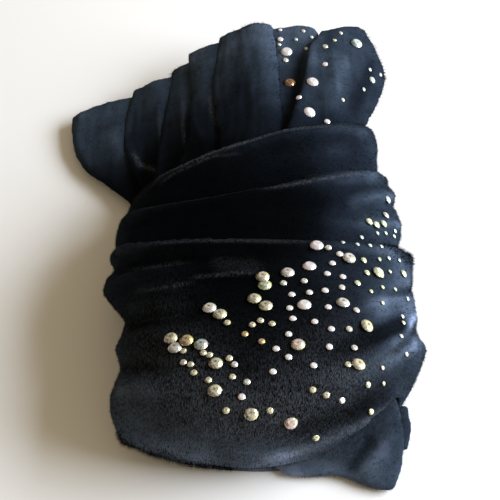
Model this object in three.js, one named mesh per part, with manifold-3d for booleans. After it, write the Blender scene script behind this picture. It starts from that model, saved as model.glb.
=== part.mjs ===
// Turban headwrap of black stretch velvet, folded up and wound round itself, with flat-back crystals.
// Millimetres, +Z up. The bundle lies on z = 0; its loose fanned end points to +Y, its closed end to -Y.
import * as THREE from "three";
import { mergeVertices } from "three/addons/utils/BufferGeometryUtils.js";
import Module from "manifold-3d";

const wasm = await Module();
wasm.setup();

// ---------------------------------------------------------------- driving sizes
const GAP = 0.35; // clearance kept between neighbouring pieces
const WALL = 3.2; // a turn of the wrap: doubled velvet with its pile
const LEAN_FROM = 50; // height at which the turns' y values are stated
const LEFT_AT = -60; // x at which a turn's "left" value is stated
const RIGHT_AT = 65; // x at which a turn's "right" value is stated
const AROUND = 36; // points in a ring round the bundle
const ACROSS = 18; // points in a ring round a fold
const CRYSTAL = { width: 6.4, height: 2.3, table: 0.5, girdle: 0.5, facets: 8 };
const CRYSTAL_LIFT = 0.5; // the glue and pile under a crystal's back

// ---------------------------------------------------------------- small helpers
const clamp = (v, low, high) => Math.min(high, Math.max(low, v));
const mix = (a, b, t) => a + (b - a) * t;
const power = (v, p) => Math.sign(v) * Math.abs(v) ** p;
const loop = (count, make) => Array.from({ length: count }, (_, i) => make((2 * Math.PI * i) / count));

// The rows of a table with more rows between them, each column on a smooth curve.
function finer(rows, steps) {
  const out = [];
  for (let i = 0; i < rows.length - 1; i++) {
    const a = rows[Math.max(0, i - 1)];
    const [b, c] = [rows[i], rows[i + 1]];
    const d = rows[Math.min(rows.length - 1, i + 2)];
    for (let s = 0; s < steps; s++) {
      const t = s / steps;
      const row = {};
      for (const key of Object.keys(b)) {
        const m0 = (c[key] - a[key]) / 2;
        const m1 = (d[key] - b[key]) / 2;
        const [t2, t3] = [t * t, t * t * t];
        row[key] =
          (2 * t3 - 3 * t2 + 1) * b[key] + (t3 - 2 * t2 + t) * m0 + (3 * t2 - 2 * t3) * c[key] + (t3 - t2) * m1;
      }
      out.push(row);
    }
  }
  out.push(rows[rows.length - 1]);
  return out;
}

// A closed surface through rings that hold the same number of points, with a fan over each end.
function loft(rings) {
  const count = rings[0].length;
  const middle = (ring) => ring.reduce((sum, p) => sum.add(p), new THREE.Vector3()).divideScalar(count);
  const points = [...rings.flat(), middle(rings[0]), middle(rings[rings.length - 1])];
  const start = rings.length * count;
  const end = (rings.length - 1) * count;
  const faces = [];
  for (let i = 0; i < count; i++) {
    const j = (i + 1) % count;
    for (let r = 0; r < end; r += count) {
      const s = r + count;
      faces.push(r + i, r + j, s + j, r + i, s + j, s + i);
    }
    faces.push(start, j, i, start + 1, end + i, end + j);
  }
  const geometry = new THREE.BufferGeometry().setFromPoints(points);
  geometry.setIndex(faces);
  return geometry;
}

function solidFrom(geometry) {
  const bare = geometry.clone();
  bare.deleteAttribute("normal");
  bare.deleteAttribute("uv");
  const merged = mergeVertices(bare, 1e-4);
  const vertProperties = new Float32Array(merged.attributes.position.array);
  const triVerts = new Uint32Array(merged.index.array);
  const solid = new wasm.Manifold(new wasm.Mesh({ numProp: 3, vertProperties, triVerts }));
  if (solid.volume() > 0) return solid;
  triVerts.reverse();
  return new wasm.Manifold(new wasm.Mesh({ numProp: 3, vertProperties, triVerts }));
}

function geometryFrom(solid) {
  const mesh = solid.getMesh();
  const geometry = new THREE.BufferGeometry();
  geometry.setAttribute("position", new THREE.BufferAttribute(new Float32Array(mesh.vertProperties), 3));
  geometry.setIndex(new THREE.BufferAttribute(new Uint32Array(mesh.triVerts), 1));
  geometry.computeVertexNormals();
  return geometry;
}

// A solid less its neighbours; only the largest of the bodies that the cuts leave is kept.
function without(solid, neighbours) {
  const left = neighbours.reduce((rest, other) => rest.subtract(other), solid);
  return left.decompose().reduce((best, body) => (body.volume() > best.volume() ? body : best));
}

// ---------------------------------------------------------------- turns round the bundle
// The y of a slanting line across the bundle, from its values at the left, in the middle and at the right.
function lineAt(row, x, z) {
  const u = clamp(x, LEFT_AT - 12, RIGHT_AT + 18);
  const fromLeft = (u * (u - RIGHT_AT)) / (LEFT_AT * (LEFT_AT - RIGHT_AT));
  const fromMiddle = ((u - LEFT_AT) * (u - RIGHT_AT)) / (-LEFT_AT * -RIGHT_AT);
  const fromRight = ((u - LEFT_AT) * u) / ((RIGHT_AT - LEFT_AT) * RIGHT_AT);
  return row.left * fromLeft + row.mid * fromMiddle + row.right * fromRight - row.lean * (z - LEAN_FROM);
}

// A ring round the bundle: a box with round shoulders that stands flat on the table.
function ringAt(row, grow) {
  const centre = (row.west + row.east) / 2;
  const half = (row.east - row.west) / 2 + grow;
  const top = row.top + grow;
  const waist = 0.42 * top;
  return loop(AROUND, (angle) => {
    const s = Math.sin(angle);
    const x = centre + half * power(Math.cos(angle), 0.74);
    const z = s >= 0 ? mix(waist, top, s ** 0.84) : mix(waist, -1 - grow, (-s) ** 0.5);
    const flat = Math.max(z, -grow);
    return new THREE.Vector3(x, lineAt(row, x, flat), flat);
  });
}

// A filled turn, out to its face. Its first rows roll up to the folded edge.
const EDGE_ROLL = [
  { back: 0, drop: 3.2 },
  { back: 0.9, drop: 1.2 },
  { back: 2.4, drop: 0.2 },
];
function turn(rows, grow = 0) {
  const edge = EDGE_ROLL.map(({ back, drop }) => {
    const by = grow - back;
    const [first] = rows;
    return {
      ...first,
      left: first.left + by,
      mid: first.mid + by,
      right: first.right + by,
      west: first.west + drop,
      east: first.east - drop,
      top: first.top - drop,
    };
  });
  const last = rows[rows.length - 1];
  const tail = { ...last, left: last.left - grow, mid: last.mid - grow, right: last.right - grow };
  const body = finer([edge[2], ...rows.slice(1, -1), tail], 2);
  return solidFrom(loft([edge[0], edge[1], ...body].map((row) => ringAt(row, grow))));
}

// ---------------------------------------------------------------- flat folds
// How a slab's two ends round off: how far past its end row, and how much of its thickness is left.
const END_ROLL = [
  { out: 2.4, left: 0.3 },
  { out: 1.4, left: 0.8 },
];

// A soft slab. Each row runs from a left end to a right end, with its mid height at both and a crown between.
function slab(rows, grow = 0) {
  const fine = finer(rows, 2);
  const ring = (row, left, out) => {
    const west = new THREE.Vector2(row.leftX, row.leftY);
    const east = new THREE.Vector2(row.rightX, row.rightY);
    const side = east.clone().sub(west);
    const half = side.length() / 2 + grow;
    side.normalize();
    const forward = new THREE.Vector2(-side.y, side.x).multiplyScalar(out);
    const centre = west.add(east).multiplyScalar(0.5).add(forward);
    const high = (row.thick / 2 + grow) * left;
    return loop(ACROSS, (angle) => {
      const along = power(Math.cos(angle), 0.6);
      const t = (along + 1) / 2;
      const middle = mix(row.leftZ, row.rightZ, t) + row.crown * 4 * t * (1 - t);
      const z = middle + high * power(Math.sin(angle), 0.45);
      return new THREE.Vector3(centre.x + side.x * half * along, centre.y + side.y * half * along, z);
    });
  };
  const [first, last] = [fine[0], fine[fine.length - 1]];
  const way = Math.sign(last.leftY - first.leftY);
  const ends = (row, ahead) => END_ROLL.map(({ out, left }) => ring(row, left, ahead * way * (out + grow)));
  const body = fine.map((row) => ring(row, 1, 0));
  return solidFrom(loft([...ends(first, -1), ...body, ...ends(last, 1).toReversed()]));
}

// The space inside a turn, open at both ends so that it also runs through the turns around it.
function hollow(rows, before, after, wall = WALL) {
  const inner = rows.map((row, i) => {
    const by = i === 0 ? before : i === rows.length - 1 ? after : 0;
    return {
      ...row,
      left: row.left + by,
      mid: row.mid + by,
      right: row.right + by,
      west: row.west + wall,
      east: row.east - wall,
      top: row.top - wall,
    };
  });
  return solidFrom(loft(inner.map((row) => ringAt(row, 0).map((p) => p.setZ(Math.max(p.z, wall))))));
}

// ---------------------------------------------------------------- tables
// First turn: its folded edge crosses the bundle at the foot of the fan.
const TURN_1 = [
  { left: 17, mid: 51, right: 64, lean: 0.5, west: -59, east: 64, top: 49 },
  { left: 9, mid: 42, right: 54, lean: 0.5, west: -60, east: 65, top: 51 },
  { left: 0, mid: 28, right: 40, lean: 0.5, west: -61, east: 64, top: 52 },
  { left: -10, mid: 12, right: 24, lean: 0.5, west: -60, east: 64, top: 52 },
  { left: -24, mid: -6, right: 6, lean: 0.5, west: -58, east: 64, top: 52 },
];

// Second turn: it covers the first one's lower half.
const TURN_2 = [
  { left: 9, mid: 17, right: 33, lean: 0.5, west: -61, east: 66, top: 55 },
  { left: 4, mid: 11, right: 27, lean: 0.5, west: -63, east: 69, top: 57 },
  { left: -6, mid: -1, right: 12, lean: 0.5, west: -65, east: 71, top: 57 },
  { left: -14, mid: -14, right: -4, lean: 0.5, west: -64, east: 71, top: 56 },
  { left: -28, mid: -32, right: -26, lean: 0.5, west: -58, east: 68, top: 53 },
];

// The jewelled front: the last and widest turn, pleated at the sides and closed over the near end.
const DRAPE = [
  { left: -11, mid: -12, right: -13, lean: 0.5, west: -64, east: 73, top: 60 },
  { left: -18, mid: -17, right: -18, lean: 0.5, west: -67, east: 76, top: 61.5 },
  { left: -25, mid: -24, right: -25, lean: 0.5, west: -64, east: 76, top: 60 },
  { left: -36, mid: -31, right: -34, lean: 0.5, west: -69, east: 76, top: 61 },
  { left: -54, mid: -44, right: -48, lean: 0.5, west: -57, east: 76, top: 60 },
  { left: -66, mid: -58, right: -58, lean: 0.45, west: -61, east: 79, top: 60 },
  { left: -76, mid: -72, right: -66, lean: 0.4, west: -58, east: 81, top: 58.5 },
  { left: -86, mid: -86, right: -73, lean: 0.25, west: -62, east: 78, top: 56 },
  { left: -91, mid: -98, right: -78, lean: 0.1, west: -61, east: 74, top: 51 },
  { left: -92, mid: -105, right: -80, lean: 0, west: -57, east: 69, top: 40 },
  { left: -89, mid: -106, right: -82, lean: 0, west: -47, east: 61, top: 23 },
  { left: -80, mid: -105, right: -84, lean: 0, west: -24, east: 40, top: 9 },
];

// The folds of the inner roll from the lowest up, from the near end out to the fanned ends.
const FOLDS = {
  fan_fold_1: [
    { leftX: -44, leftY: -40, leftZ: 8, rightX: 52, rightY: -40, rightZ: 8, thick: 9, crown: 0 },
    { leftX: -46, leftY: 10, leftZ: 8, rightX: 54, rightY: 10, rightZ: 8, thick: 9, crown: 0 },
    { leftX: -62, leftY: 42, leftZ: 7, rightX: 54, rightY: 52, rightZ: 7, thick: 9, crown: 0 },
    { leftX: -87, leftY: 64, leftZ: 5.4, rightX: 54, rightY: 92, rightZ: 5.4, thick: 10, crown: 0 },
    { leftX: -95, leftY: 82, leftZ: 5.4, rightX: 20, rightY: 114, rightZ: 5.4, thick: 10, crown: 0 },
    { leftX: -96, leftY: 96, leftZ: 6, rightX: -30, rightY: 124, rightZ: 6, thick: 10, crown: 0 },
  ],
  fan_fold_2: [
    { leftX: -50, leftY: -40, leftZ: 17.5, rightX: 56, rightY: -40, rightZ: 17.5, thick: 9, crown: 0 },
    { leftX: -51, leftY: 10, leftZ: 17.5, rightX: 57, rightY: 10, rightZ: 17.5, thick: 9, crown: 0 },
    { leftX: -52, leftY: 36, leftZ: 17, rightX: 57, rightY: 52, rightZ: 17, thick: 9, crown: 0 },
    { leftX: -63, leftY: 62, leftZ: 15, rightX: 58, rightY: 92, rightZ: 15.5, thick: 8, crown: 0 },
    { leftX: -68, leftY: 88, leftZ: 14, rightX: 48, rightY: 118, rightZ: 15.5, thick: 7, crown: 0 },
    { leftX: -64, leftY: 113, leftZ: 15, rightX: 0, rightY: 127, rightZ: 15.5, thick: 7, crown: 0 },
  ],
  fan_fold_3: [
    { leftX: -50, leftY: -40, leftZ: 27, rightX: 57, rightY: -40, rightZ: 27, thick: 9, crown: 0 },
    { leftX: -50, leftY: 10, leftZ: 27, rightX: 56, rightY: 10, rightZ: 27, thick: 9, crown: 0 },
    { leftX: -49, leftY: 38, leftZ: 26.5, rightX: 54, rightY: 54, rightZ: 26.5, thick: 9, crown: 0 },
    { leftX: -48, leftY: 70, leftZ: 23, rightX: 52, rightY: 94, rightZ: 23, thick: 7, crown: 0 },
    { leftX: -46, leftY: 96, leftZ: 21.5, rightX: 50, rightY: 122, rightZ: 22, thick: 6, crown: 0 },
    { leftX: -43, leftY: 122, leftZ: 22, rightX: 20, rightY: 133, rightZ: 22, thick: 6, crown: 0 },
  ],
  fan_fold_4: [
    { leftX: -42, leftY: -40, leftZ: 39, rightX: 48, rightY: -40, rightZ: 39, thick: 14, crown: 0 },
    { leftX: -41, leftY: -12, leftZ: 38, rightX: 46, rightY: -12, rightZ: 38, thick: 12, crown: 0 },
    { leftX: -38, leftY: 40, leftZ: 34.8, rightX: 44, rightY: 56, rightZ: 34.5, thick: 6, crown: 0 },
    { leftX: -31, leftY: 72, leftZ: 30.5, rightX: 42, rightY: 94, rightZ: 29.9, thick: 5.6, crown: 0 },
    { leftX: -31, leftY: 100, leftZ: 28, rightX: 42, rightY: 120, rightZ: 27.9, thick: 5.2, crown: 0 },
    { leftX: -34, leftY: 128, leftZ: 28, rightX: 26, rightY: 140, rightZ: 28, thick: 5.5, crown: 0 },
  ],
  jewelled_lobe_left: [
    { leftX: 0, leftY: 20, leftZ: 42.6, rightX: 24, rightY: 26, rightZ: 42.4, thick: 3, crown: 0 },
    { leftX: 2, leftY: 60, leftZ: 41, rightX: 28, rightY: 64, rightZ: 40.7, thick: 3.5, crown: 0 },
    { leftX: 5, leftY: 100, leftZ: 34.2, rightX: 34, rightY: 102, rightZ: 34.2, thick: 4.7, crown: 0 },
    { leftX: 8, leftY: 138, leftZ: 33.4, rightX: 34, rightY: 140, rightZ: 33.6, thick: 4.8, crown: 0.4 },
  ],
  fan_fold_5: [
    { leftX: -36, leftY: 20, leftZ: 43.5, rightX: 10, rightY: 20, rightZ: 47, thick: 3, crown: 0 },
    { leftX: -16, leftY: 50, leftZ: 42, rightX: 17, rightY: 60, rightZ: 46, thick: 3, crown: 0 },
    { leftX: -18, leftY: 76, leftZ: 37, rightX: 16, rightY: 84, rightZ: 43.6, thick: 3.4, crown: 0 },
    { leftX: -20, leftY: 104, leftZ: 33, rightX: 15, rightY: 112, rightZ: 41, thick: 4, crown: 0 },
    { leftX: -17, leftY: 134, leftZ: 33, rightX: 13, rightY: 141, rightZ: 39, thick: 4, crown: 0 },
  ],
  jewelled_lobe_right: [
    { leftX: 14, leftY: 30, leftZ: 46, rightX: 44, rightY: 36, rightZ: 41, thick: 3, crown: 1 },
    { leftX: 18, leftY: 60, leftZ: 45.5, rightX: 60, rightY: 76, rightZ: 26, thick: 4, crown: 6 },
    { leftX: 28, leftY: 100, leftZ: 40.5, rightX: 71, rightY: 106, rightZ: 20, thick: 5, crown: 7 },
    { leftX: 33, leftY: 124, leftZ: 39.5, rightX: 72, rightY: 122, rightZ: 21, thick: 6, crown: 4 },
    { leftX: 38, leftY: 139, leftZ: 37, rightX: 63, rightY: 140, rightZ: 29, thick: 6, crown: 2 },
  ],
};

// The near end of the inner roll, and one loose ply that shows beside it.
const NEAR_END = {
  corner_panel: [
    { leftX: -42, leftY: -46, leftZ: 26, rightX: 58, rightY: -46, rightZ: 26, thick: 44, crown: 0 },
    { leftX: -42, leftY: -74, leftZ: 24, rightX: 62, rightY: -66, rightZ: 24, thick: 40, crown: 0 },
    { leftX: -26, leftY: -90, leftZ: 18, rightX: 68, rightY: -83, rightZ: 14, thick: 20, crown: 4 },
    { leftX: -2, leftY: -100, leftZ: 4, rightX: 69, rightY: -96, rightZ: 6, thick: 7, crown: 3 },
    { leftX: 14, leftY: -105, leftZ: 3, rightX: 63, rightY: -109, rightZ: 3, thick: 5, crown: 0 },
  ],
  side_tab: [
    { leftX: 50, leftY: -74, leftZ: 1.7, rightX: 73, rightY: -74, rightZ: 1.7, thick: 3, crown: 0 },
    { leftX: 50, leftY: -84, leftZ: 1.7, rightX: 74, rightY: -84, rightZ: 1.7, thick: 3, crown: 0 },
    { leftX: 54, leftY: -91, leftZ: 1.7, rightX: 72, rightY: -92, rightZ: 1.7, thick: 3, crown: 0 },
  ],
};

// Crystals over 4 mm, charted on a plane seen square on from the bundle's front, SIGHT above the table.
const SIGHT = THREE.MathUtils.degToRad(55);
const CHART_CENTRE = new THREE.Vector3(0, 0, 25);
const CRYSTALS = [
  { across: 29, up: 2 },
  { across: 26, up: -7 },
  { across: 16, up: -10 },
  { across: 6, up: -11 },
  { across: 6.5, up: -16.5 },
  { across: 2, up: -21 },
  { across: 7, up: -24 },
  { across: 24, up: -24 },
  { across: 40, up: -23 },
  { across: 43, up: -3 },
  { across: 56, up: -10 },
  { across: 51, up: -33 },
  { across: 21, up: -41 },
  { across: 47, up: -50 },
  { across: -18, up: -25 },
  { across: -13, up: -28 },
  { across: -36, up: -38.5 },
  { across: -32.5, up: -43.5 },
  { across: -28, up: -39.5 },
  { across: -21.5, up: -41 },
  { across: -16, up: -49 },
  { across: -16, up: -61 },
  { across: 1, up: -72 },
  { across: 18, up: -75 },
  { across: 19, up: 105 },
  { across: 21, up: 86 },
  { across: 30, up: 69 },
  { across: 32, up: 86 },
  { across: 55, up: 107 },
];

// ---------------------------------------------------------------- crystals
// A flat-back crystal: a girdle, a ring of crown facets and a flat table, with its back on z = 0.
function crystalGeometry() {
  const radius = CRYSTAL.width / 2;
  const profile = [
    new THREE.Vector2(0, 0),
    new THREE.Vector2(radius, 0),
    new THREE.Vector2(radius, CRYSTAL.girdle),
    new THREE.Vector2(radius * CRYSTAL.table, CRYSTAL.height),
    new THREE.Vector2(0, CRYSTAL.height),
  ];
  return new THREE.LatheGeometry(profile, CRYSTAL.facets).rotateX(Math.PI / 2);
}

// Drops a crystal along the line of sight onto the cloth and turns its back to the face that it meets.
function seatCrystal(name, chart, cloth) {
  const away = new THREE.Vector3(0, Math.cos(SIGHT), -Math.sin(SIGHT));
  const up = new THREE.Vector3(0, Math.sin(SIGHT), Math.cos(SIGHT));
  const start = CHART_CENTRE.clone().add(new THREE.Vector3(chart.across, 0, 0));
  start.addScaledVector(up, chart.up).addScaledVector(away, -300);
  const [hit] = new THREE.Raycaster(start, away).intersectObjects(cloth);
  const material = new THREE.MeshStandardMaterial({ color: 0xe8ecf0, roughness: 0.1, metalness: 0.4 });
  const mesh = new THREE.Mesh(geometryFrom(solidFrom(crystalGeometry())), material);
  mesh.name = name;
  mesh.quaternion.setFromUnitVectors(new THREE.Vector3(0, 0, 1), hit.face.normal);
  mesh.position.copy(hit.point).addScaledVector(hit.face.normal, CRYSTAL_LIFT);
  return mesh;
}

// ---------------------------------------------------------------- pieces
function clothMesh(name, solid) {
  const material = new THREE.MeshStandardMaterial({ color: 0x0b0c0f, roughness: 0.9, metalness: 0 });
  const mesh = new THREE.Mesh(geometryFrom(solid), material);
  mesh.name = name;
  return mesh;
}

// The three turns. Each is open towards the fan; the drape closes over the near end and lets the panel out.
function turnSolids() {
  const space1 = hollow(TURN_1, 30, -30);
  const space2 = hollow(TURN_2, 50, -30);
  const space3 = hollow(DRAPE.slice(0, -3), 60, 4);
  const clear1 = turn(TURN_1, GAP);
  const clear2 = turn(TURN_2, GAP);
  const nearEnd = Object.values(NEAR_END).map((rows) => slab(rows, GAP));
  return {
    wrap_turn_1: without(turn(TURN_1), [space1]),
    wrap_turn_2: without(turn(TURN_2), [clear1, space1, space2]),
    front_drape: without(turn(DRAPE), [clear1, clear2, space1, space2, space3, ...nearEnd]),
  };
}

// The inner roll: the fanned folds, trimmed where they pass through the first turn, and the near end.
function rollSolids() {
  const clearTurn = turn(TURN_1, GAP).subtract(hollow(TURN_1, 30, -30, WALL + GAP));
  const solids = {};
  for (const [name, rows] of Object.entries(FOLDS)) solids[name] = without(slab(rows), [clearTurn]);
  solids.corner_panel = without(slab(NEAR_END.corner_panel), [slab(NEAR_END.side_tab, GAP)]);
  solids.side_tab = slab(NEAR_END.side_tab);
  return solids;
}

const headwrap = new THREE.Group();
for (const [name, solid] of Object.entries({ ...turnSolids(), ...rollSolids() })) {
  headwrap.add(clothMesh(name, solid));
}
const cloth = [...headwrap.children];
CRYSTALS.forEach((chart, i) => {
  headwrap.add(seatCrystal(`crystal_${String(i + 1).padStart(2, "0")}`, chart, cloth));
});

// The part's origin is on the table under the middle of its box.
const middle = new THREE.Box3().setFromObject(headwrap).getCenter(new THREE.Vector3());
headwrap.position.set(-middle.x, -middle.y, 0);
export default headwrap;
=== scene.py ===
# Turban headwrap of black stretch velvet, folded up and wound round itself, set with flat-back crystals.
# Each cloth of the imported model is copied, remeshed and shaped into folds, then given its pile and crystals.
import math

import bmesh
import bpy
import numpy as np
from mathutils import Matrix, Vector, noise
from mathutils.bvhtree import BVHTree


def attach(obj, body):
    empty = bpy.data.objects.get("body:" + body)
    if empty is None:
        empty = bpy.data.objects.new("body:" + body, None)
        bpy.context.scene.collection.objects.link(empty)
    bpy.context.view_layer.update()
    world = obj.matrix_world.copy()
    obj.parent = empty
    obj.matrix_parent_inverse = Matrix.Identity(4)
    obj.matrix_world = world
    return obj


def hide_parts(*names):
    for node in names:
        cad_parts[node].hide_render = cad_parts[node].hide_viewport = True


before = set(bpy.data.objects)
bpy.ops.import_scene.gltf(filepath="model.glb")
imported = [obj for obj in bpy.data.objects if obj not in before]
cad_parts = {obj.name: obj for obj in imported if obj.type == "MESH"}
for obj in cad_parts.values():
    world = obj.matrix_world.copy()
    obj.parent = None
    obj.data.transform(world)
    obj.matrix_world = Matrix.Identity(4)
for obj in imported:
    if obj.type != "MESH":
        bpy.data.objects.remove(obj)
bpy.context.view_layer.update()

MM = 0.001

# ---------------------------------------------------------------- the line of sight
# The wrap is laid out on a chart: a plane through its middle, square to the line of sight, in millimetres.
SIGHT_HEIGHT = math.radians(55)
SIGHT_DISTANCE = 600.0
CHART_CENTRE = np.array((7.97, -15.97, 25.0))
TO_EYE = np.array((0.0, -math.cos(SIGHT_HEIGHT), math.sin(SIGHT_HEIGHT)))
CHART_UP = np.array((0.0, math.sin(SIGHT_HEIGHT), math.cos(SIGHT_HEIGHT)))
EYE = CHART_CENTRE + SIGHT_DISTANCE * TO_EYE


def charted(points):
    """Where points, in millimetres, show on the chart: an array of (across, up)."""
    away = points - CHART_CENTRE
    near = SIGHT_DISTANCE / (SIGHT_DISTANCE - away @ TO_EYE)
    return np.stack([away[:, 0] * near, away @ CHART_UP * near], 1)


def new_object(name, data):
    made = bpy.data.objects.new(name, data)
    bpy.context.collection.objects.link(made)
    return made


def place_camera():
    camera = new_object("camera", bpy.data.cameras.new("camera"))
    camera.location = Vector(EYE * MM)
    camera.rotation_euler = (math.pi / 2 - SIGHT_HEIGHT, 0, 0)
    camera.data.sensor_width = 36
    camera.data.lens = 90
    bpy.context.scene.camera = camera


# ---------------------------------------------------------------- colours and nodes
def linear(code):
    """An sRGB hex colour as Blender's linear numbers, with an alpha of 1."""
    parts = [int(code[i : i + 2], 16) / 255 for i in (1, 3, 5)]
    return (*[c / 12.92 if c <= 0.04045 else ((c + 0.055) / 1.055) ** 2.4 for c in parts], 1.0)


def add_node(tree, kind, settings=None, values=None, links=None):
    """Adds a node with its properties set, its plain inputs given and its other inputs linked."""
    node = tree.nodes.new(kind)
    for key, value in (settings or {}).items():
        setattr(node, key, value)
    for key, value in (values or {}).items():
        node.inputs[key].default_value = value
    for key, source in (links or {}).items():
        tree.links.new(source, node.inputs[key])
    return node


def new_material(name):
    material = bpy.data.materials.new(name)
    material.use_nodes = True
    material.node_tree.nodes.clear()
    return material, material.node_tree


def finish_material(tree, shader):
    add_node(tree, "ShaderNodeOutputMaterial", links={"Surface": shader.outputs[0]})


def ramp(tree, factor, stops):
    """A colour ramp: each stop is a position with a hex colour or a plain grey."""
    node = add_node(tree, "ShaderNodeValToRGB", links={"Fac": factor})
    elements = node.color_ramp.elements
    while len(elements) < len(stops):
        elements.new(1.0)
    for element, (position, colour) in zip(elements, stops):
        element.position = position
        element.color = linear(colour) if isinstance(colour, str) else (colour, colour, colour, 1)
    return node.outputs["Color"]


# ---------------------------------------------------------------- cloth
VOXEL = {"front_drape": 1.15, "side_tab": 0.8}  # size of the remeshed cloth's cells, in millimetres
VOXEL_ELSE = 1.2
ROUNDING = 14  # passes of smoothing
ROUNDING_SHARE = 0.5
SAME_POINT = 1e-6  # points closer than this, in metres, are one


def fine_copy(node):
    """A CAD cloth as a new piece: its loose triangles joined, evenly remeshed and rounded off."""
    bm = bmesh.new()
    bm.from_mesh(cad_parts[node].data)
    bmesh.ops.remove_doubles(bm, verts=bm.verts, dist=SAME_POINT)
    mesh = bpy.data.meshes.new("velvet_" + node)
    bm.to_mesh(mesh)
    bm.free()
    piece = new_object("velvet_" + node, mesh)
    even = piece.modifiers.new("even", "REMESH")
    even.mode = "VOXEL"
    even.voxel_size = VOXEL.get(node, VOXEL_ELSE) * MM
    rounded = piece.modifiers.new("rounded", "SMOOTH")
    rounded.factor = ROUNDING_SHARE
    rounded.iterations = ROUNDING
    made = bpy.data.meshes.new_from_object(piece.evaluated_get(bpy.context.evaluated_depsgraph_get()))
    piece.modifiers.clear()
    piece.data = made
    made.name = piece.name
    made.shade_smooth()
    return piece


def points_of(mesh):
    """A mesh's points, in millimetres."""
    out = np.empty(len(mesh.vertices) * 3)
    mesh.vertices.foreach_get("co", out)
    return out.reshape(-1, 3) / MM


def normals_of(mesh):
    out = np.empty(len(mesh.vertices) * 3, np.float32)
    mesh.vertex_normals.foreach_get("vector", out)
    return out.reshape(-1, 3).astype(float)


def set_points(mesh, points):
    mesh.vertices.foreach_set("co", (points * MM).ravel())
    mesh.update()


def smooth_step(low, high, value):
    """0 up to low, 1 from high on, and a smooth rise between them."""
    t = np.clip((value - low) / (high - low), 0, 1)
    return t * t * (3 - 2 * t)


def hump(gap, width):
    """1 on a line, dying away smoothly to either side of it."""
    return np.exp(-((gap / width) ** 2))


def fade_ends(share, start, end):
    """1 along a line, fading to 0 over a share of its length at its start and at its end."""
    return smooth_step(0, start, share) * smooth_step(0, end, 1 - share)


def along_line(chart, line):
    """For each chart point, its distance from a bent line and how far along the line it lies, from 0 to 1."""
    line = np.array(line, float)
    lengths = np.linalg.norm(np.diff(line, axis=0), axis=1)
    before = np.concatenate([[0], np.cumsum(lengths)])
    best = np.full(len(chart), np.inf)
    share = np.zeros(len(chart))
    for i, length in enumerate(lengths):
        way = (line[i + 1] - line[i]) / length
        t = np.clip((chart - line[i]) @ way, 0, length)
        gap = np.linalg.norm(chart - line[i] - t[:, None] * way, axis=1)
        closer = gap < best
        best[closer] = gap[closer]
        share[closer] = (before[i] + t[closer]) / before[-1]
    return best, share


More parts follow.
